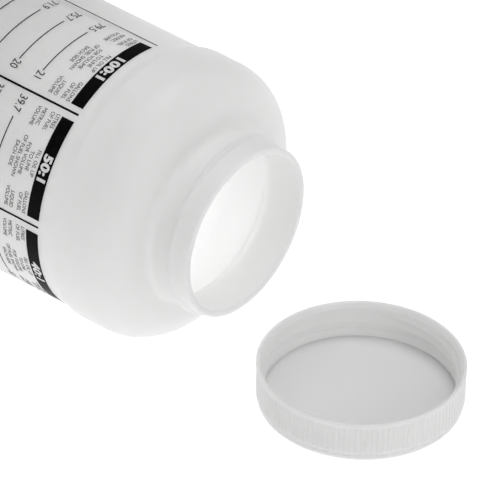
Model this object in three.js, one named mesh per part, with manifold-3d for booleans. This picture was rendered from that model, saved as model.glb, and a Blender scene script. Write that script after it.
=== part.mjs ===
// A wide-mouth blow-moulded plastic measuring bottle lying on its side, with its screw cap
// and the cap's sealing liner off the bottle, open side up in front of the mouth.
// Millimetres, +Z up, the bottle's axis along X with the mouth towards +X.
// The origin is the centre of the whole arrangement's footprint, on the surface it lies on.
import * as THREE from 'three';
import { mergeVertices } from 'three/addons/utils/BufferGeometryUtils.js';
import Module from 'manifold-3d';

const wasm = await Module();
wasm.setup();

// ---------------------------------------------------------------- driving dimensions

// bottle, measured back from the plane of the mouth
const BOTTLE_LENGTH = 236;
const WALL = 1.15;                    // of the body; it thickens through the shoulder
const BULGE_RADIUS = 40;              // the two raised bands that the bottle lies on
const PANEL_RADIUS = 39;              // the recessed panel between them
const PANEL_START = 37.5;
const PANEL_END = 210;
const STEP_LENGTH = 4.5;              // from the panel up to either band
const LIP_RADIUS = 24.3;
const BORE_RADIUS = 22.4;
const NECK_RADIUS = 24.9;
const NECK_END = 10.6;
const NECK_FILLET = 2.4;
const BORE_END = 10.2;
const BORE_ROUND = 4.1;               // where the bore opens into the shoulder
const DOME_RADIUS = 12;               // the shoulder's round
const BASE_WALL = 1.8;
const BASE_ROUND = 6;
const FOOT_INNER_RADIUS = 28;
const FOOT_SLOPE = 6;                 // width of the slope from the foot ring to the middle
const PUSH_UP = 3;                    // how far the middle of the base stands clear
const LIP_ROUND = 0.4;
const BOTTLE_SEGMENTS = 56;

// screw thread, right-handed, six turns to the inch
const PITCH = 25.4 / 6;
const NECK_THREAD_DEPTH = 1;
const NECK_THREAD_TURNS = 1.2;
const NECK_THREAD_MIDDLE = 5.6;       // behind the mouth, at the thread's middle
const NECK_THREAD_MIDDLE_ANGLE = 225; // degrees round the neck from its underside
const THREAD_STEP = 9;                // degrees
const THREAD_ROOT_HALF = 1.1;         // half the ridge's width at the wall
const THREAD_CREST_HALF = 0.35;
const THREAD_BURIED = 0.4;            // how deep the ridge reaches into the wall
const THREAD_FADE_STEPS = 4;
const THREAD_END_HEIGHT = 0.02;       // share of its depth that the ridge keeps at its tips

// cap, measured up from its closed end
const CAP_HEIGHT = 12.2;
const CAP_RIM_RADIUS = 28.2;
const CAP_TOP_RADIUS = 27.6;
const CAP_BORE_RADIUS = 26.5;
const CAP_PANEL = 1;                  // thickness of the closed end
const CAP_EDGE_ROUND = 0.8;
const CAP_RIM_EDGE = 0.4;             // chamfers of the rim
const CAP_THREAD_DEPTH = 1;
const CAP_THREAD_START = 3.4;
const CAP_THREAD_START_ANGLE = -15;
const CAP_THREAD_TURNS = 1.4;
const RIB_COUNT = 120;
const RIB_DEPTH = 0.25;
const RIB_SETBACK = 0.15;             // of the ribs' crests from the smooth rim
const RIB_BURIED = 0.1;               // how far the cup's wall stands inside the ribs' roots
const RIB_BOTTOM = 1.8;
const RIB_TOP = 10.9;
const CAP_SEGMENTS = 60;

// sealing liner in the cap
const LINER_RADIUS = 26.1;
const LINER_THICKNESS = 0.8;
const LINER_GAP = 0.2;

// where the cap lies, from the centre of the mouth
const CAP_AHEAD = 36.6;
const CAP_ASIDE = 5.7;

const MOUTH_X = (BOTTLE_LENGTH - CAP_AHEAD - CAP_RIM_RADIUS) / 2;
const CAP_X = MOUTH_X + CAP_AHEAD;

// ---------------------------------------------------------------- helpers

const degrees = THREE.MathUtils.degToRad;

// Points of an arc in a profile plane, from one angle to another in degrees, both ends included.
function arc(centreR, centreH, radius, from, to, steps) {
  const points = [];
  for (let i = 0; i <= steps; i += 1) {
    const angle = degrees(from + ((to - from) * i) / steps);
    points.push(new THREE.Vector2(
      centreR + radius * Math.cos(angle),
      centreH + radius * Math.sin(angle),
    ));
  }
  return points;
}

// An S-shaped step between two radii, easing in and out, ends included.
function easedStep(fromR, fromH, toR, toH, steps) {
  const points = [];
  for (let i = 0; i <= steps; i += 1) {
    const part = i / steps;
    const ease = (1 - Math.cos(Math.PI * part)) / 2;
    points.push(new THREE.Vector2(fromR + (toR - fromR) * ease, fromH + (toH - fromH) * part));
  }
  return points;
}

// A geometry with position and index only, its seams joined and its collapsed triangles gone.
function joined(geometry) {
  const bare = geometry.clone();
  bare.deleteAttribute('normal');
  bare.deleteAttribute('uv');
  const merged = mergeVertices(bare, 1e-4);
  const index = [];
  const old = merged.index.array;
  for (let i = 0; i < old.length; i += 3) {
    const [a, b, c] = [old[i], old[i + 1], old[i + 2]];
    if (a !== b && b !== c && c !== a) index.push(a, b, c);
  }
  merged.setIndex(index);
  return merged;
}

function toSolid(geometry) {
  const clean = joined(geometry);
  return new wasm.Manifold(new wasm.Mesh({
    numProp: 3,
    vertProperties: new Float32Array(clean.attributes.position.array),
    triVerts: new Uint32Array(clean.index.array),
  }));
}

function fromSolid(solid) {
  const mesh = solid.getMesh();
  const geometry = new THREE.BufferGeometry();
  geometry.setAttribute('position', new THREE.BufferAttribute(mesh.vertProperties, 3));
  geometry.setIndex(new THREE.BufferAttribute(mesh.triVerts, 1));
  geometry.computeVertexNormals();
  return geometry;
}

// A solid of revolution about Z from [radius, height] points.
function turned(points, segments) {
  const geometry = new THREE.LatheGeometry(points, segments);
  geometry.rotateX(Math.PI / 2);
  return geometry;
}

// A right-handed ridge along a helix about Z. Its section is a trapezium whose wide side is
// buried in the wall at rootRadius and whose narrow side is the crest. The ends taper to nothing.
function threadRidge({ rootRadius, crestRadius, startHeight, startAngle, turns }) {
  const inwards = rootRadius > crestRadius;
  const buried = rootRadius + (inwards ? THREAD_BURIED : -THREAD_BURIED);
  const steps = Math.round((turns * 360) / THREAD_STEP);
  const positions = [];
  for (let i = 0; i <= steps; i += 1) {
    const turn = (turns * i) / steps;
    const angle = degrees(startAngle + 360 * turn);
    const height = startHeight + PITCH * turn;
    const fade = Math.min(1, i / THREAD_FADE_STEPS, (steps - i) / THREAD_FADE_STEPS);
    const share = THREAD_END_HEIGHT + (1 - THREAD_END_HEIGHT) * fade;
    const crest = rootRadius + (crestRadius - rootRadius) * share;
    const section = [
      [buried, -THREAD_ROOT_HALF],
      [crest, -THREAD_CREST_HALF],
      [crest, THREAD_CREST_HALF],
      [buried, THREAD_ROOT_HALF],
    ];
    for (const [r, h] of section) {
      positions.push(r * Math.cos(angle), r * Math.sin(angle), height + h);
    }
  }
  const index = [];
  const corners = 4;
  const quad = (a, b, c, d) => index.push(a, b, c, a, c, d);
  for (let i = 0; i < steps; i += 1) {
    for (let k = 0; k < corners; k += 1) {
      const here = i * corners;
      const next = here + corners;
      const l = (k + 1) % corners;
      quad(here + k, next + k, next + l, here + l);
    }
  }
  const last = steps * corners;
  quad(0, 1, 2, 3);
  quad(last + 3, last + 2, last + 1, last);
  if (inwards) {
    for (let i = 0; i < index.length; i += 3) [index[i], index[i + 1]] = [index[i + 1], index[i]];
  }
  const geometry = new THREE.BufferGeometry();
  geometry.setAttribute('position', new THREE.Float32BufferAttribute(positions, 3));
  geometry.setIndex(index);
  return geometry;
}

// ---------------------------------------------------------------- bottle

// Both profiles run from the base to the mouth; heights are minus the distance behind the mouth.
function bottleOutside() {
  const domeCentreR = BULGE_RADIUS - DOME_RADIUS;
  const domeCentreH = -(NECK_END + NECK_FILLET + DOME_RADIUS);
  const foot = -BOTTLE_LENGTH;
  return [
    new THREE.Vector2(0, foot + PUSH_UP),
    ...easedStep(FOOT_INNER_RADIUS - FOOT_SLOPE, foot + PUSH_UP, FOOT_INNER_RADIUS, foot, 2),
    ...arc(BULGE_RADIUS - BASE_ROUND, foot + BASE_ROUND, BASE_ROUND, -90, 0, 4),
    ...easedStep(BULGE_RADIUS, -PANEL_END - STEP_LENGTH, PANEL_RADIUS, -PANEL_END, 3),
    ...easedStep(PANEL_RADIUS, -PANEL_START, BULGE_RADIUS, -PANEL_START + STEP_LENGTH, 3),
    ...arc(domeCentreR, domeCentreH, DOME_RADIUS, 0, 90, 7),
    ...arc(NECK_RADIUS + NECK_FILLET, -NECK_END, NECK_FILLET, -90, -180, 2),
    new THREE.Vector2(LIP_RADIUS, -LIP_ROUND),
    new THREE.Vector2(LIP_RADIUS - LIP_ROUND, 0),
  ];
}

// Inside, the shoulder is a quarter of an ellipse, from the thin body up to the thick neck.
function bottleInside() {
  const domeCentreR = BULGE_RADIUS - DOME_RADIUS;
  const domeCentreH = -(NECK_END + NECK_FILLET + DOME_RADIUS);
  const floor = -BOTTLE_LENGTH + BASE_WALL;
  const slopeEnd = FOOT_INNER_RADIUS - 1;
  const bulge = BULGE_RADIUS - WALL;
  const panel = PANEL_RADIUS - WALL;
  const domeWidth = bulge - domeCentreR;
  const domeHeight = -(BORE_END + BORE_ROUND) - domeCentreH;
  const dome = arc(0, 0, 1, 0, 90, 6).map(({ x, y }) => (
    new THREE.Vector2(domeCentreR + domeWidth * x, domeCentreH + domeHeight * y)
  ));
  return [
    new THREE.Vector2(0, floor + PUSH_UP),
    ...easedStep(slopeEnd - FOOT_SLOPE, floor + PUSH_UP, slopeEnd, floor, 2),
    ...arc(BULGE_RADIUS - BASE_ROUND, floor + BASE_ROUND, BASE_ROUND - WALL, -90, 0, 3),
    ...easedStep(bulge, -PANEL_END - STEP_LENGTH, panel, -PANEL_END, 2),
    ...easedStep(panel, -PANEL_START, bulge, -PANEL_START + STEP_LENGTH, 2),
    ...dome,
    ...arc(BORE_RADIUS + BORE_ROUND, -BORE_END, BORE_ROUND, -90, -180, 3),
    new THREE.Vector2(BORE_RADIUS, 0),
  ];
}

function bottleGeometry() {
  const shell = turned([...bottleOutside(), ...bottleInside().reverse()], BOTTLE_SEGMENTS);
  const halfTurns = NECK_THREAD_TURNS / 2;
  const thread = threadRidge({
    rootRadius: NECK_RADIUS,
    crestRadius: NECK_RADIUS + NECK_THREAD_DEPTH,
    startHeight: -NECK_THREAD_MIDDLE - PITCH * halfTurns,
    startAngle: NECK_THREAD_MIDDLE_ANGLE - 360 * halfTurns,
    turns: NECK_THREAD_TURNS,
  });
  return fromSolid(toSolid(shell).add(toSolid(thread)));
}

// ---------------------------------------------------------------- cap

function ribbedBand() {
  const shape = new THREE.Shape();
  const points = [];
  for (let i = 0; i < RIB_COUNT; i += 1) {
    for (const [part, depth] of [[0, RIB_DEPTH], [0.5, 0]]) {
      const angle = (2 * Math.PI * (i + part)) / RIB_COUNT;
      const radius = CAP_RIM_RADIUS - RIB_SETBACK - depth;
      points.push(new THREE.Vector2(radius * Math.cos(angle), radius * Math.sin(angle)));
    }
  }
  shape.setFromPoints(points);
  const band = new THREE.ExtrudeGeometry(shape, { depth: RIB_TOP - RIB_BOTTOM, bevelEnabled: false });
  band.translate(0, 0, RIB_BOTTOM);
  return band;
}

// The cup that the ribs stand on: a rounded closed end, a draughted wall and a smooth rim.
function capCup() {
  const wallAtRibs = CAP_RIM_RADIUS - RIB_SETBACK - RIB_DEPTH - RIB_BURIED;
  const rimStep = 0.2;
  return [
    new THREE.Vector2(0, 0),
    ...arc(CAP_TOP_RADIUS - CAP_EDGE_ROUND, CAP_EDGE_ROUND, CAP_EDGE_ROUND, -90, 0, 4),
    new THREE.Vector2(wallAtRibs, RIB_BOTTOM + rimStep),
    new THREE.Vector2(wallAtRibs, RIB_TOP - rimStep),
    new THREE.Vector2(CAP_RIM_RADIUS, RIB_TOP + rimStep),
    new THREE.Vector2(CAP_RIM_RADIUS, CAP_HEIGHT - CAP_RIM_EDGE),
    new THREE.Vector2(CAP_RIM_RADIUS - CAP_RIM_EDGE, CAP_HEIGHT),
    new THREE.Vector2(0, CAP_HEIGHT),
  ];
}

function capBore() {
  const above = CAP_HEIGHT + 1;
  return [
    new THREE.Vector2(0, CAP_PANEL),
    new THREE.Vector2(CAP_BORE_RADIUS, CAP_PANEL),
    new THREE.Vector2(CAP_BORE_RADIUS, CAP_HEIGHT - CAP_RIM_EDGE),
    new THREE.Vector2(CAP_BORE_RADIUS + CAP_RIM_EDGE, CAP_HEIGHT),
    new THREE.Vector2(CAP_BORE_RADIUS + CAP_RIM_EDGE, above),
    new THREE.Vector2(0, above),
  ];
}

function capGeometry() {
  const thread = threadRidge({
    rootRadius: CAP_BORE_RADIUS,
    crestRadius: CAP_BORE_RADIUS - CAP_THREAD_DEPTH,
    startHeight: CAP_THREAD_START,
    startAngle: CAP_THREAD_START_ANGLE,
    turns: CAP_THREAD_TURNS,
  });
  const cap = toSolid(turned(capCup(), CAP_SEGMENTS))
    .add(toSolid(ribbedBand()))
    .subtract(toSolid(turned(capBore(), CAP_SEGMENTS)))
    .add(toSolid(thread));
  return fromSolid(cap);
}

// ---------------------------------------------------------------- liner

function linerGeometry() {
  const bottom = CAP_PANEL + LINER_GAP;
  const top = bottom + LINER_THICKNESS;
  return joined(turned([
    new THREE.Vector2(0, bottom),
    new THREE.Vector2(LINER_RADIUS, bottom),
    new THREE.Vector2(LINER_RADIUS, top),
    new THREE.Vector2(0, top),
  ], CAP_SEGMENTS));
}

// ---------------------------------------------------------------- assembly

const bottlePlastic = new THREE.MeshStandardMaterial({ color: 0xdcdcda, roughness: 0.45, metalness: 0 });
const capPlastic = new THREE.MeshStandardMaterial({ color: 0xd6d6d4, roughness: 0.5, metalness: 0 });
const linerFoam = new THREE.MeshStandardMaterial({ color: 0xdadad8, roughness: 0.7, metalness: 0 });

function named(name, geometry, material) {
  const mesh = new THREE.Mesh(geometry, material);
  mesh.name = name;
  return mesh;
}

const model = new THREE.Group();

const bottle = named('bottle', bottleGeometry(), bottlePlastic);
bottle.position.set(MOUTH_X, 0, BULGE_RADIUS);
bottle.rotation.set(0, Math.PI / 2, 0);

const closure = new THREE.Group();
closure.position.set(CAP_X, CAP_ASIDE, 0);
closure.add(named('cap', capGeometry(), capPlastic));
closure.add(named('liner', linerGeometry(), linerFoam));

model.add(bottle, closure);

export default model;
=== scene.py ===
"""Looks of a wide-mouth plastic measuring bottle lying on its side, its screw cap and liner off.

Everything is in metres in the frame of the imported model: +X runs along the bottle towards its
mouth, +Z is up. Shapes are worked out in millimetres from the sizes below and scaled once.
"""

import math

import bmesh
import bpy
import numpy as np
from mathutils import Matrix, Vector


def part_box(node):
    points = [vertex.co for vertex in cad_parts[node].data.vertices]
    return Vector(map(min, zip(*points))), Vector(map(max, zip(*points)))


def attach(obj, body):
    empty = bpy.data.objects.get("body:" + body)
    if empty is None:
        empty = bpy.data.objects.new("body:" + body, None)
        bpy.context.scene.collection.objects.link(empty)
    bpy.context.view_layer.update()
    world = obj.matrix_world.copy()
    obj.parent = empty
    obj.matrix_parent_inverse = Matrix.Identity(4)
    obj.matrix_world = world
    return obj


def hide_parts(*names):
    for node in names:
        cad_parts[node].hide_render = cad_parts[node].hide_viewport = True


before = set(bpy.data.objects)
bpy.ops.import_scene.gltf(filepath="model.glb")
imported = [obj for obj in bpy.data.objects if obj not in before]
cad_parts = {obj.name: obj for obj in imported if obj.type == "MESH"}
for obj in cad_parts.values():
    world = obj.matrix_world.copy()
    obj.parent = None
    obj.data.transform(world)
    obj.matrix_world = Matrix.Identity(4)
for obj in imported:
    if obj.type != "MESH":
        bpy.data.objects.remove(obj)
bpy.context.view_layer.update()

MM = 0.001

# ------------------------------------------------------------------ places, from the frame

BOTTLE_LOW, BOTTLE_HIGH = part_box("bottle")
CAP_LOW, CAP_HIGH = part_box("cap")
LINER_LOW, LINER_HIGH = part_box("liner")

MOUTH_X = BOTTLE_HIGH.x / MM
BOTTLE_LENGTH = (BOTTLE_HIGH.x - BOTTLE_LOW.x) / MM
BULGE_RADIUS = (BOTTLE_HIGH.z - BOTTLE_LOW.z) / 2 / MM
AXIS_Z = (BOTTLE_HIGH.z + BOTTLE_LOW.z) / 2 / MM
CAP_X = (CAP_LOW.x + CAP_HIGH.x) / 2 / MM
CAP_Y = (CAP_LOW.y + CAP_HIGH.y) / 2 / MM
CAP_RIM_RADIUS = (CAP_HIGH.x - CAP_LOW.x) / 2 / MM
CAP_HEIGHT = CAP_HIGH.z / MM

# ------------------------------------------------------------------ sizes, millimetres

# bottle, distances measured back from the mouth
WALL = 1.15
PANEL_RADIUS = BULGE_RADIUS - 1
PANEL_START = 37.5
PANEL_END = 210
STEP_LENGTH = 4.5
LIP_RADIUS = 24.3
BORE_RADIUS = 22.4
NECK_RADIUS = 24.9
NECK_END = 10.6
NECK_FILLET = 2.4
BORE_END = 10.2
BORE_ROUND = 4.1
DOME_RADIUS = 12
BASE_WALL = 1.8
BASE_ROUND = 6
FOOT_INNER_RADIUS = 28
FOOT_SLOPE = 6
PUSH_UP = 3
LIP_ROUND = 0.4
BOTTLE_SEGMENTS = 288

PITCH = 25.4 / 6
THREAD_ROOT_HALF = 1.1
THREAD_CREST_HALF = 0.3
NECK_THREAD_DEPTH = 0.98
NECK_THREAD_TURNS = 1.2
NECK_THREAD_MIDDLE = 5.6
NECK_THREAD_MIDDLE_ANGLE = 45
OVAL_DEPTH = 0.25                    # the neck is a little out of round
OVAL_ANGLE = 131                     # where it is widest, from the top
OVAL_LENGTH = 13                     # behind the mouth, where it is round again

# cap, heights measured from its closed end
CAP_TOP_RADIUS = 27.6
CAP_BORE_RADIUS = 26.5
CAP_PANEL = 1
CAP_EDGE_ROUND = 0.8
CAP_THREAD_DEPTH = 1
CAP_THREAD_START = 3.4
CAP_THREAD_START_ANGLE = -15
CAP_THREAD_TURNS = 1.4
RIB_COUNT = 120
RIB_DEPTH = 0.22
RIB_BOTTOM = 1.8
RIB_TOP = 10.9
CAP_SEGMENTS = RIB_COUNT * 8

# printed scale
US_GALLON = 3.785412                 # litres
TOP_MARK_VOLUME = 795                # millilitres of oil at the highest mark of the 100:1 column
TOP_MARK_T = 57.4                    # that mark's distance behind the mouth
PANEL_VOLUME = math.pi * (PANEL_RADIUS - WALL) ** 2 / 1000   # millilitres per millimetre
LOWEST_MARK_T = 204
RATIOS = (100, 50, 40, 32, 24, 16)
FIRST_COLUMN_ANGLE = -12.9           # of the left edge of the first column, from the top
COLUMN_ANGLE = 49.07
BAR_T = 39.5
BAR_HEIGHT = 4.2
SAG_DEPTH = 1.0                      # the panel has sunk a little beside the start of the scale
SAG_ANGLE = -4
SAG_SPREAD = 24
SAG_START_T = 36
SAG_FULL_T = 64
INK_THICKNESS = 0.03
LETTER_HEIGHT = 0.682                # of a capital in the built-in typeface, in its own units
NUMBER_HEIGHT = 2.5
BAR_NUMBER_HEIGHT = 3.0
HEADING_HEIGHT = 1.2
MARK_WIDTH = 0.35
MOST_OIL = 805                       # millilitres, just over the highest mark's
SMALLEST_GAP = 35                    # millilitres of oil between two marks
RULE_OVERRUN = 3                     # of the column rules past the lowest mark

# camera
LENS = 525
SENSOR = 36
CAMERA_ROLL = 1.58                   # degrees


# ------------------------------------------------------------------ outlines

def arc(centre_r, centre_h, radius, start, end, steps):
    """Points (radius, height) of an arc between two angles in degrees, both ends included."""
    angles = np.radians(np.linspace(start, end, steps + 1))
    return [(centre_r + radius * math.cos(a), centre_h + radius * math.sin(a)) for a in angles]


def line(start, end, spacing):
    """Points of a straight stretch, about one every spacing, both ends included."""
    steps = max(1, round(math.dist(start, end) / spacing))
    return [tuple(np.array(start) + (np.array(end) - np.array(start)) * i / steps)
            for i in range(steps + 1)]


def eased(start, end, steps):
    """An S-shaped step from one radius to another, both ends included."""
    points = []
    for i in range(steps + 1):
        part = i / steps
        ease = (1 - math.cos(math.pi * part)) / 2
        points.append((start[0] + (end[0] - start[0]) * ease, start[1] + (end[1] - start[1]) * part))
    return points


def tagged(points, tag):
    """The points, each marked with the name of the relief that it carries."""
    return [(r, h, tag) for r, h in points]


def without_repeats(outline):
    """The outline with neighbouring points that coincide left out."""
    kept = [outline[0]]
    for point in outline[1:]:
        if math.dist(point[:2], kept[-1][:2]) > 1e-4:
            kept.append(point)
    return kept


# ------------------------------------------------------------------ solids of revolution

def revolved(name, outline, segments, place, reliefs):
    """A closed smooth skin of revolution whose outline runs from axis to axis.

    place(radius, angle, height) gives world points in millimetres; reliefs maps a tag to a
    function (angle, height) that gives how far the surface stands out there.
    """
    outline = without_repeats(outline)
    angles = np.arange(segments) * 2 * math.pi / segments
    points = []
    rows = []
    for radius, height, tag in outline:
        at_axis = radius < 1e-6
        ring = np.zeros(1) if at_axis else angles
        heights = np.full(len(ring), float(height))
        stand = reliefs[tag](ring, heights) if tag in reliefs else 0
        first = sum(len(r) for r in rows)
        rows.append(range(first, first + len(ring)))
        points.append(place(radius + stand, ring, heights))
    faces = []
    for low, high in zip(rows, rows[1:]):
        for i in range(segments):
            j = (i + 1) % segments
            if len(low) == 1:
                faces.append((low[0], high[j], high[i]))
            elif len(high) == 1:
                faces.append((low[i], low[j], high[0]))
            else:
                faces.append((low[i], low[j], high[j], high[i]))
    mesh = bpy.data.meshes.new(name)
    mesh.from_pydata(np.concatenate(points) * MM, [], faces)
    turn_outwards(mesh)
    mesh.polygons.foreach_set("use_smooth", np.ones(len(mesh.polygons), bool))
    mesh.set_sharp_from_angle(angle=math.radians(50))
    return add_object(name, mesh)


def turn_outwards(mesh):
    edit = bmesh.new()
    edit.from_mesh(mesh)
    bmesh.ops.recalc_face_normals(edit, faces=edit.faces)
    if edit.calc_volume(signed=True) < 0:
        bmesh.ops.reverse_faces(edit, faces=edit.faces)
    edit.to_mesh(mesh)
    edit.free()


def add_object(name, data):
    made = bpy.data.objects.new(name, data)
    bpy.context.scene.collection.objects.link(made)
    return made


def smooth_step(x):
    x = np.clip(x, 0, 1)
    return x * x * (3 - 2 * x)


def thread_relief(angles, heights, depth, start_height, start_angle, turns):
    """How far a right-handed thread stands out at each angle and height, tapering at its ends."""
    stand = np.zeros(len(angles))
    for turn in range(-1, math.ceil(turns) + 1):
        along = (angles - start_angle) / (2 * math.pi) + turn
        away = np.abs(heights - start_height - PITCH * along)
        flank = smooth_step((THREAD_ROOT_HALF - away) / (THREAD_ROOT_HALF - THREAD_CREST_HALF))
        fade = smooth_step(np.minimum(along, turns - along) / 0.09)
        stand = np.maximum(stand, depth * flank * fade)
    return stand


# ------------------------------------------------------------------ bottle

def bottle_place(radius, angle, height):
    """Angles run from the top of the lying bottle down its near side; heights from the mouth."""
    return np.stack([
        MOUTH_X + height,
        -radius * np.sin(angle),
        AXIS_Z + radius * np.cos(angle),
    ], axis=-1)


def neck_thread(angles, heights):
    half = NECK_THREAD_TURNS / 2
    return thread_relief(
        angles, heights, NECK_THREAD_DEPTH,
        -NECK_THREAD_MIDDLE - PITCH * half,
        math.radians(NECK_THREAD_MIDDLE_ANGLE) - 2 * math.pi * half,
        NECK_THREAD_TURNS,
    )


def neck_oval(angles, heights):
    """How far the neck stands outside a true circle, most at the mouth."""
    fade = 1 - smooth_step(-heights / OVAL_LENGTH)
    return OVAL_DEPTH * np.cos(2 * (angles - math.radians(OVAL_ANGLE))) * fade


def oval_thread(angles, heights):
    return neck_thread(angles, heights) + neck_oval(angles, heights)


def panel_sag(angles, heights):
    """The shallow sunken area that thin blow-moulded panels show on one side, as a relief."""
    away = (np.degrees(angles) - SAG_ANGLE + 180) % 360 - 180
    across = np.exp(-(away / SAG_SPREAD) ** 2)
    top = smooth_step((-heights - SAG_START_T) / (SAG_FULL_T - SAG_START_T))
    bottom = smooth_step((heights + PANEL_END) / (SAG_FULL_T - SAG_START_T))
    return -SAG_DEPTH * across * top * bottom


def bottle_outside():
    dome_r = BULGE_RADIUS - DOME_RADIUS
    dome_h = -(NECK_END + NECK_FILLET + DOME_RADIUS)
    foot = -BOTTLE_LENGTH
    slope_start = FOOT_INNER_RADIUS - FOOT_SLOPE
    return (
        tagged(line((0, foot + PUSH_UP), (slope_start, foot + PUSH_UP), 3), "")
        + tagged(eased((slope_start, foot + PUSH_UP), (FOOT_INNER_RADIUS, foot), 8), "")
        + tagged(arc(BULGE_RADIUS - BASE_ROUND, foot + BASE_ROUND, BASE_ROUND, -90, 0, 14), "")
        + tagged(line((BULGE_RADIUS, foot + BASE_ROUND),
                      (BULGE_RADIUS, -PANEL_END - STEP_LENGTH), 3), "")
        + tagged(eased((BULGE_RADIUS, -PANEL_END - STEP_LENGTH), (PANEL_RADIUS, -PANEL_END), 10), "")
        + tagged(line((PANEL_RADIUS, -PANEL_END), (PANEL_RADIUS, -PANEL_START), 4), "panel")
        + tagged(eased((PANEL_RADIUS, -PANEL_START),
                       (BULGE_RADIUS, -PANEL_START + STEP_LENGTH), 10), "")
        + tagged(line((BULGE_RADIUS, -PANEL_START + STEP_LENGTH), (BULGE_RADIUS, dome_h), 1), "")
        + tagged(arc(dome_r, dome_h, DOME_RADIUS, 0, 90, 30), "")
        + tagged(arc(NECK_RADIUS + NECK_FILLET, -NECK_END, NECK_FILLET, 270, 180, 8), "oval")
        + tagged(line((NECK_RADIUS, -NECK_END), (LIP_RADIUS, -LIP_ROUND), 0.25), "thread")
        + tagged(arc(LIP_RADIUS - LIP_ROUND, -LIP_ROUND, LIP_ROUND, 0, 90, 6), "oval")
    )


def bottle_inside():
    """The wall is thin all over the body and thickens through the shoulder up to the neck."""
    dome_r = BULGE_RADIUS - DOME_RADIUS
    dome_h = -(NECK_END + NECK_FILLET + DOME_RADIUS)
    floor = -BOTTLE_LENGTH + BASE_WALL
    slope_end = FOOT_INNER_RADIUS - 1
    inner_bulge = BULGE_RADIUS - WALL
    inner_panel = PANEL_RADIUS - WALL
    dome = [(dome_r + (inner_bulge - dome_r) * r, dome_h - (dome_h + BORE_END + BORE_ROUND) * h)
            for r, h in arc(0, 0, 1, 0, 90, 24)]
    return (
        tagged(line((0, floor + PUSH_UP), (slope_end - FOOT_SLOPE, floor + PUSH_UP), 3), "")
        + tagged(eased((slope_end - FOOT_SLOPE, floor + PUSH_UP), (slope_end, floor), 8), "")
        + tagged(arc(BULGE_RADIUS - BASE_ROUND, floor + BASE_ROUND, BASE_ROUND - WALL, -90, 0, 12), "")
        + tagged(eased((inner_bulge, -PANEL_END - STEP_LENGTH), (inner_panel, -PANEL_END), 8), "")
        + tagged(line((inner_panel, -PANEL_END), (inner_panel, -PANEL_START), 4), "panel")
        + tagged(eased((inner_panel, -PANEL_START), (inner_bulge, -PANEL_START + STEP_LENGTH), 8), "")
        + tagged(dome, "")
        + tagged(arc(BORE_RADIUS + BORE_ROUND, -BORE_END, BORE_ROUND, 270, 180, 10), "oval")
        + tagged(line((BORE_RADIUS, -BORE_END), (BORE_RADIUS, -LIP_ROUND), 1), "oval")
        + tagged(arc(BORE_RADIUS + LIP_ROUND, -LIP_ROUND, LIP_ROUND, 180, 90, 4), "oval")
    )


def make_bottle():
    outline = bottle_outside() + bottle_inside()[::-1]
    return revolved("bottle_body", outline, BOTTLE_SEGMENTS, bottle_place,
                    {"thread": oval_thread, "oval": neck_oval, "panel": panel_sag})


# ------------------------------------------------------------------ cap and liner

def cap_place(radius, angle, height):
    return np.stack([
        CAP_X + radius * np.cos(angle),
        CAP_Y + radius * np.sin(angle),
        height,
    ], axis=-1)


def cap_ribs(angles, heights):
    """Fine upright ribs, rounded on top, fading out at both ends of the band."""
    wave = np.abs(np.sin(angles * RIB_COUNT / 2))
    ends = smooth_step(np.minimum(heights - RIB_BOTTOM, RIB_TOP - heights) / 0.35)
    return -RIB_DEPTH * (1 - wave) * ends


def cap_thread(angles, heights):
    return -thread_relief(
        angles, heights, CAP_THREAD_DEPTH, CAP_THREAD_START,
        math.radians(CAP_THREAD_START_ANGLE), CAP_THREAD_TURNS,
    )


def make_cap():
    rib_crest = CAP_RIM_RADIUS - 0.15
    rim_round = 0.35
    rim_width = 0.9                      # the bore opens out a little below the rim
    lead_in = 1.6
    outside = (
        tagged(line((0, 0), (CAP_TOP_RADIUS - CAP_EDGE_ROUND, 0), 3), "")
        + tagged(arc(CAP_TOP_RADIUS - CAP_EDGE_ROUND, CAP_EDGE_ROUND, CAP_EDGE_ROUND, -90, -20, 8), "")
        + tagged(line((rib_crest - 0.5, RIB_BOTTOM), (rib_crest, RIB_BOTTOM + 0.5), 0.12), "ribs")
        + tagged(line((rib_crest, RIB_BOTTOM + 0.5), (rib_crest, RIB_TOP - 0.5), 1), "ribs")
        + tagged(line((rib_crest, RIB_TOP - 0.5), (rib_crest, RIB_TOP), 0.1), "ribs")
        + tagged(eased((rib_crest, RIB_TOP), (CAP_RIM_RADIUS, RIB_TOP + 0.3), 4), "")
        + tagged(arc(CAP_RIM_RADIUS - rim_round, CAP_HEIGHT - rim_round, rim_round, 0, 90, 6), "")
    )
    bore_round = 0.5
    inside = (
        tagged(line((CAP_RIM_RADIUS - rim_width, CAP_HEIGHT - 0.1),
                    (CAP_BORE_RADIUS, CAP_HEIGHT - lead_in), 0.3), "")
        + tagged(line((CAP_BORE_RADIUS, CAP_HEIGHT - lead_in), (CAP_BORE_RADIUS, 2.2), 0.25), "thread")
        + tagged(arc(CAP_BORE_RADIUS - bore_round, CAP_PANEL + bore_round, bore_round, 0, -90, 5), "")
        + tagged(line((CAP_BORE_RADIUS - bore_round, CAP_PANEL), (0, CAP_PANEL), 3), "")
    )
    return revolved("screw_cap", outside + inside, CAP_SEGMENTS, cap_place,
                    {"ribs": cap_ribs, "thread": cap_thread})


def make_liner():
    """A foam disc with rounded edges."""
    radius = (LINER_HIGH.x - LINER_LOW.x) / 2 / MM
    low = LINER_LOW.z / MM
    high = LINER_HIGH.z / MM
    edge = 0.2
    outline = (
        tagged(line((0, low), (radius - edge, low), 2), "")
        + tagged(arc(radius - edge, low + edge, edge, -90, 0, 4), "")
        + tagged(arc(radius - edge, high - edge, edge, 0, 90, 4), "")
        + tagged(line((radius - edge, high), (0, high), 1), "")
    )
    return revolved("cap_liner", outline, 192, cap_place, {})


# ------------------------------------------------------------------ printed scale

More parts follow.
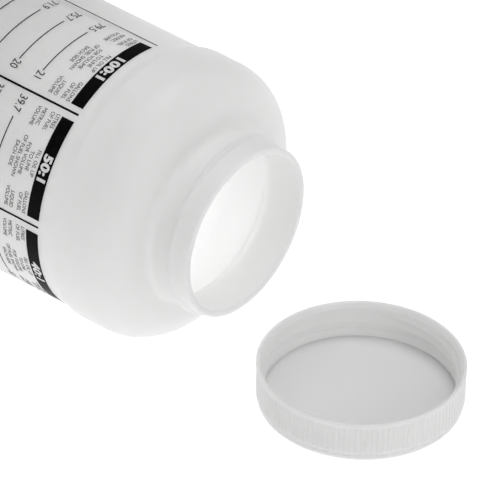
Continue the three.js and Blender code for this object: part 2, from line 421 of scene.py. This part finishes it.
def outline_loops(text, spacing):
    """Closed outlines of a word in the built-in typeface, in its own units."""
    data = bpy.data.curves.new("letters", "FONT")
    data.body = text
    data.space_character = spacing
    data.resolution_u = 3
    data.fill_mode = "NONE"
    holder = add_object("letters", data)
    graph = bpy.context.evaluated_depsgraph_get()
    mesh = bpy.data.meshes.new_from_object(holder.evaluated_get(graph))
    points = np.array([v.co[:2] for v in mesh.vertices])
    loops = []
    first = 0
    for edge in mesh.edges:
        last = max(edge.vertices)
        if min(edge.vertices) == first and last > first + 1:
            loop = points[first:last + 1]
            loops.append(loop[np.linalg.norm(loop - np.roll(loop, -1, axis=0), axis=1) > 1e-6])
            first = last + 1
    bpy.data.objects.remove(holder)
    bpy.data.curves.remove(data)
    bpy.data.meshes.remove(mesh)
    return loops


def thickened(loops, weight):
    """The outlines moved outwards (and their holes inwards), for heavier strokes."""
    def area(loop):
        after = np.roll(loop, -1, axis=0)
        return (loop[:, 0] * after[:, 1] - loop[:, 1] * after[:, 0]).sum() / 2

    side = 1 if sum(area(loop) for loop in loops) > 0 else -1
    moved = []
    for loop in loops:
        edges = np.roll(loop, -1, axis=0) - loop
        lengths = np.linalg.norm(edges, axis=1, keepdims=True)
        normals = np.column_stack([edges[:, 1], -edges[:, 0]]) / lengths * side
        both = normals + np.roll(normals, 1, axis=0)
        corner = np.maximum((both ** 2).sum(axis=1, keepdims=True), 1.2)
        moved.append(loop + both * 2 / corner * weight)
    return moved


def word(text, u, v, height, align="left", condense=0.85, weight=0.0, spacing=1.0):
    """Outlines of a word standing on v, with its left edge, middle or right edge at u."""
    scale = height / (LETTER_HEIGHT + 2 * weight)
    loops = [(loop + (0, weight)) * (scale * condense, scale)
             for loop in thickened(outline_loops(text, spacing), weight)]
    low = min(loop[:, 0].min() for loop in loops)
    high = max(loop[:, 0].max() for loop in loops)
    anchor = {"left": low, "middle": (low + high) / 2, "right": high}[align]
    return [loop + (u - anchor, v) for loop in loops]


def rectangle(low_u, low_v, high_u, high_v):
    return [np.array([(low_u, low_v), (high_u, low_v), (high_u, high_v), (low_u, high_v)])]


def gallon_step(ratio):
    """The gallons of fuel between two marks: the finest step that still leaves readable gaps."""
    return next(step for step in (0.25, 0.5, 1) if 1000 * US_GALLON * step / ratio > SMALLEST_GAP)


def mark_rows(ratio):
    """(distance behind the mouth, gallons of fuel) for every mark of a column, top first."""
    step = gallon_step(ratio)
    gallons = math.floor(MOST_OIL * ratio / (1000 * US_GALLON) / step) * step
    while gallons > 0:
        oil = 1000 * US_GALLON * gallons / ratio
        t = TOP_MARK_T + (TOP_MARK_VOLUME - oil) / PANEL_VOLUME
        if t > LOWEST_MARK_T:
            return
        yield t, gallons
        gallons -= step


HEADINGS = {
    "left": (("LITRES", 45.5), ("OF FUEL", 47.3), ("METRIC", 50.0), ("VOLUME", 51.9)),
    "middle": (("FILL OIL UP", 45.6), ("TO LINE", 47.6), ("FOR VOLUME", 49.5),
               ("OF FUEL SHOWN", 51.4), ("EACH SIDE", 53.2)),
    "right": (("GALLONS", 45.6), ("OF FUEL", 47.4), ("LIQUID", 50.1), ("VOLUME", 51.9)),
}


def column_loops(ratio, left, rule_width):
    """Outlines of one column of the scale, u along the arc and v towards the mouth."""
    bar_left = left + 2.2
    bar_right = left + 31.4
    middle = (bar_left + bar_right) / 2
    number_base = -BAR_T - BAR_HEIGHT / 2 - BAR_NUMBER_HEIGHT / 2
    loops = rectangle(left - rule_width / 2, -LOWEST_MARK_T - RULE_OVERRUN, left + rule_width / 2, -BAR_T)
    loops += rectangle(bar_left, -BAR_T - BAR_HEIGHT, bar_right, -BAR_T)
    loops += word(f"{ratio}:1", middle, number_base, BAR_NUMBER_HEIGHT,
                  "middle", 1.22, 0.055, 1.06)
    edges = {"left": bar_left, "middle": middle, "right": bar_right}
    for side, lines in HEADINGS.items():
        for text, t in lines:
            loops += word(text, edges[side], -t, HEADING_HEIGHT, side, 0.86)
    for t, gallons in mark_rows(ratio):
        base = -t - NUMBER_HEIGHT / 2
        loops += word(f"{gallons * US_GALLON:.1f}", left + 1.7, base, NUMBER_HEIGHT, "left", 0.8)
        loops += rectangle(left + 8.0, -t - MARK_WIDTH / 2, left + 26.6, -t + MARK_WIDTH / 2)
        loops += word(f"{gallons:g}", left + 27.0, base, NUMBER_HEIGHT, "left", 0.8)
    return loops


def ink_mesh(name, loops):
    """A thin solid of ink with these flat outlines, holes left open, wrapped round the panel."""
    data = bpy.data.curves.new(name, "CURVE")
    data.dimensions = "2D"
    data.fill_mode = "BOTH"
    data.extrude = INK_THICKNESS / 2
    for loop in loops:
        spline = data.splines.new("POLY")
        spline.points.add(len(loop) - 1)
        spline.points.foreach_set("co", np.column_stack(
            [loop, np.zeros(len(loop)), np.ones(len(loop))]).ravel())
        spline.use_cyclic_u = True
    holder = add_object(name, data)
    graph = bpy.context.evaluated_depsgraph_get()
    mesh = bpy.data.meshes.new_from_object(holder.evaluated_get(graph))
    bpy.data.objects.remove(holder)
    bpy.data.curves.remove(data)
    edit = bmesh.new()
    edit.from_mesh(mesh)
    bmesh.ops.remove_doubles(edit, verts=edit.verts, dist=1e-5)
    low = min(v.co.x for v in edit.verts)
    high = max(v.co.x for v in edit.verts)
    spacing = 1.3
    for u in np.arange(low + spacing, high, spacing):
        everything = edit.verts[:] + edit.edges[:] + edit.faces[:]
        bmesh.ops.bisect_plane(edit, geom=everything, plane_co=(u, 0, 0), plane_no=(1, 0, 0))
    flat = np.array([vert.co for vert in edit.verts])
    angles = flat[:, 0] / PANEL_RADIUS
    radii = PANEL_RADIUS + panel_sag(angles, flat[:, 1]) + flat[:, 2] + INK_THICKNESS / 4
    for vert, place in zip(edit.verts, bottle_place(radii, angles, flat[:, 1]) * MM):
        vert.co = place
    bmesh.ops.recalc_face_normals(edit, faces=edit.faces)
    edit.to_mesh(mesh)
    edit.free()
    return mesh


def make_scale():
    """The printed mixing scale: one piece of ink for each column, and the last closing rule."""
    pieces = []
    for i, ratio in enumerate(RATIOS):
        left = math.radians(FIRST_COLUMN_ANGLE + COLUMN_ANGLE * i) * PANEL_RADIUS
        rule_width = 0.6 if i else 0.4
        loops = column_loops(ratio, left, rule_width)
        pieces.append(add_object(f"scale_{ratio}_to_1", ink_mesh(f"scale_{ratio}_to_1", loops)))
    end = math.radians(FIRST_COLUMN_ANGLE + COLUMN_ANGLE * len(RATIOS)) * PANEL_RADIUS
    closing = rectangle(end - 0.2, -LOWEST_MARK_T - RULE_OVERRUN, end + 0.2, -BAR_T)
    pieces.append(add_object("scale_end_rule", ink_mesh("scale_end_rule", closing)))
    return pieces


# ------------------------------------------------------------------ materials

def new_material(name):
    """An empty node material with its Principled shader: (material, nodes, link, shader)."""
    material = bpy.data.materials.new(name)
    material.use_nodes = True
    tree = material.node_tree
    return material, tree.nodes, tree.links.new, tree.nodes["Principled BSDF"]


def noise(nodes, link, vector, scale, detail=4.0, roughness=0.5):
    node = nodes.new("ShaderNodeTexNoise")
    node.inputs["Scale"].default_value = scale
    node.inputs["Detail"].default_value = detail
    node.inputs["Roughness"].default_value = roughness
    link(vector, node.inputs["Vector"])
    return node.outputs["Fac"]


def mapped(nodes, link, value, low, high):
    """The value, stretched from its usual 0.3 to 0.7 to this range."""
    node = nodes.new("ShaderNodeMapRange")
    node.inputs["From Min"].default_value = 0.3
    node.inputs["From Max"].default_value = 0.7
    node.inputs["To Min"].default_value = low
    node.inputs["To Max"].default_value = high
    link(value, node.inputs["Value"])
    return node.outputs["Result"]


def colour_between(nodes, link, value, first, second):
    node = nodes.new("ShaderNodeMix")
    node.data_type = "RGBA"
    node.inputs[6].default_value = (*first, 1)
    node.inputs[7].default_value = (*second, 1)
    link(value, node.inputs["Factor"])
    return node.outputs[2]


def bumped(nodes, link, height, strength, distance, before=None):
    node = nodes.new("ShaderNodeBump")
    node.inputs["Strength"].default_value = strength
    node.inputs["Distance"].default_value = distance
    link(height, node.inputs["Height"])
    if before is not None:
        link(before, node.inputs["Normal"])
    return node.outputs["Normal"]


def natural_plastic(name, light, dark, roughness, scatter, waviness, grain_scale, grain_depth):
    """Uncoloured translucent plastic: milky, faintly mottled, with a fine moulded grain."""
    material, nodes, link, shader = new_material(name)
    place = nodes.new("ShaderNodeTexCoord").outputs["Object"]
    clouds = noise(nodes, link, place, 45, 3)
    specks = noise(nodes, link, place, 420, 2)
    tone = mapped(nodes, link, clouds, 0, 1)
    link(colour_between(nodes, link, tone, light, dark), shader.inputs["Base Color"])
    link(mapped(nodes, link, specks, roughness - 0.05, roughness + 0.07), shader.inputs["Roughness"])
    waves = bumped(nodes, link, noise(nodes, link, place, 60, 2), waviness, 0.0004)
    grain = noise(nodes, link, place, grain_scale, 3, 0.6)
    link(bumped(nodes, link, grain, 0.35, grain_depth, waves), shader.inputs["Normal"])
    shader.inputs["Subsurface Weight"].default_value = 1.0
    shader.inputs["Subsurface Radius"].default_value = (1.0, 1.0, 1.0)
    shader.inputs["Subsurface Scale"].default_value = scatter
    shader.inputs["IOR"].default_value = 1.5
    return material


def printed_ink():
    """Screen-printed black ink: slightly uneven, with pinholes of lighter tone and a soft gloss."""
    material, nodes, link, shader = new_material("scale_ink")
    place = nodes.new("ShaderNodeTexCoord").outputs["Object"]
    mottle = mapped(nodes, link, noise(nodes, link, place, 700, 4), 0, 1)
    link(colour_between(nodes, link, mottle, (0.002, 0.002, 0.0021), (0.005, 0.005, 0.0053)),
         shader.inputs["Base Color"])
    link(mapped(nodes, link, noise(nodes, link, place, 300, 3), 0.34, 0.46), shader.inputs["Roughness"])
    link(bumped(nodes, link, noise(nodes, link, place, 1500, 3), 0.2, 0.00003), shader.inputs["Normal"])
    shader.inputs["Specular IOR Level"].default_value = 0.04
    return material


def floor_paper():
    """The plain white floor, lit from within like a light table so that it stays shadowless."""
    material, nodes, link, shader = new_material("floor_white")
    shader.inputs["Base Color"].default_value = (0.1, 0.1, 0.1, 1)
    shader.inputs["Roughness"].default_value = 0.9
    shader.inputs["Emission Color"].default_value = (1, 1, 1, 1)
    shader.inputs["Emission Strength"].default_value = 0.98
    return material


# ------------------------------------------------------------------ stage

def make_floor():
    size = 3.0
    mesh = bpy.data.meshes.new("floor")
    corners = [(-size, -size, 0), (size, -size, 0), (size, size, 0), (-size, size, 0)]
    mesh.from_pydata(corners, [], [(0, 1, 2, 3)])
    mesh.materials.append(floor_paper())
    floor = add_object("floor", mesh)


def make_camera():
    """A long lens looking down over the mouth and the cap, from in front and to the near side."""
    place = Vector((MOUTH_X + 967.3, -1178.1, 1117.8)) * MM
    target = Vector((MOUTH_X - 34.9, 40.1, 0)) * MM
    roll = math.radians(CAMERA_ROLL)
    forward = (target - place).normalized()
    right = forward.cross(Vector((0, 0, 1))).normalized()
    up = right.cross(forward)
    tilted_right = math.cos(roll) * right + math.sin(roll) * up
    tilted_up = -math.sin(roll) * right + math.cos(roll) * up
    data = bpy.data.cameras.new("camera")
    data.sensor_width = SENSOR
    data.lens = LENS
    data.clip_start = 0.1
    data.clip_end = 20
    camera = add_object("camera", data)
    turn = Matrix((tilted_right, tilted_up, -forward)).transposed()
    camera.matrix_world = Matrix.Translation(place) @ turn.to_4x4()
    bpy.context.scene.camera = camera


def soft_light(name, place, target, size, power):
    data = bpy.data.lights.new(name, "AREA")
    data.shape = "DISK"
    data.size = size
    data.energy = power
    light = add_object(name, data)
    light.location = place
    light.rotation_euler = (Vector(target) - Vector(place)).to_track_quat("-Z", "Y").to_euler()
    light.visible_camera = False


def light_studio():
    world = bpy.data.worlds.new("studio")
    bpy.context.scene.world = world
    world.use_nodes = True
    background = world.node_tree.nodes["Background"]
    background.inputs["Color"].default_value = (1, 1, 1, 1)
    background.inputs["Strength"].default_value = 0.32
    soft_light("overhead", (0.0, 0.35, 1.7), (0.03, 0, 0.03), 1.4, 9.4)
    soft_light("side", (1.4, -0.3, 0.9), (0.03, 0, 0.03), 1.0, 3.9)
    glow = bpy.data.lights.new("glow", "POINT")
    glow.energy = 0.02
    glow.shadow_soft_size = 0.012
    lamp = add_object("glow", glow)
    lamp.location = (0.046, 0.005, AXIS_Z * MM - 0.003)
    lamp.visible_camera = False
    bpy.context.scene.view_settings.view_transform = "Standard"


# ------------------------------------------------------------------ putting it together

make_camera()
make_floor()
light_studio()

bottle_plastic = natural_plastic(
    "bottle_polyethylene", (0.83, 0.83, 0.825), (0.81, 0.81, 0.805), 0.42, 0.0065, 0.5, 900, 0.00006)
cap_plastic = natural_plastic(
    "cap_polypropylene", (0.80, 0.80, 0.795), (0.77, 0.77, 0.765), 0.45, 0.005, 0.15, 1400, 0.00004)
liner_foam = natural_plastic(
    "liner_foam", (0.98, 0.98, 0.975), (0.95, 0.95, 0.945), 0.55, 0.001, 0.3, 2500, 0.00006)
ink = printed_ink()

bottle = make_bottle()
bottle.data.materials.append(bottle_plastic)
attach(bottle, "bottle")
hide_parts("bottle")

cap = make_cap()
cap.data.materials.append(cap_plastic)
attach(cap, "cap")
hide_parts("cap")

liner = make_liner()
liner.data.materials.append(liner_foam)
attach(liner, "liner")
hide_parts("liner")

for part in make_scale():
    part.data.materials.append(ink)
    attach(part, "bottle")
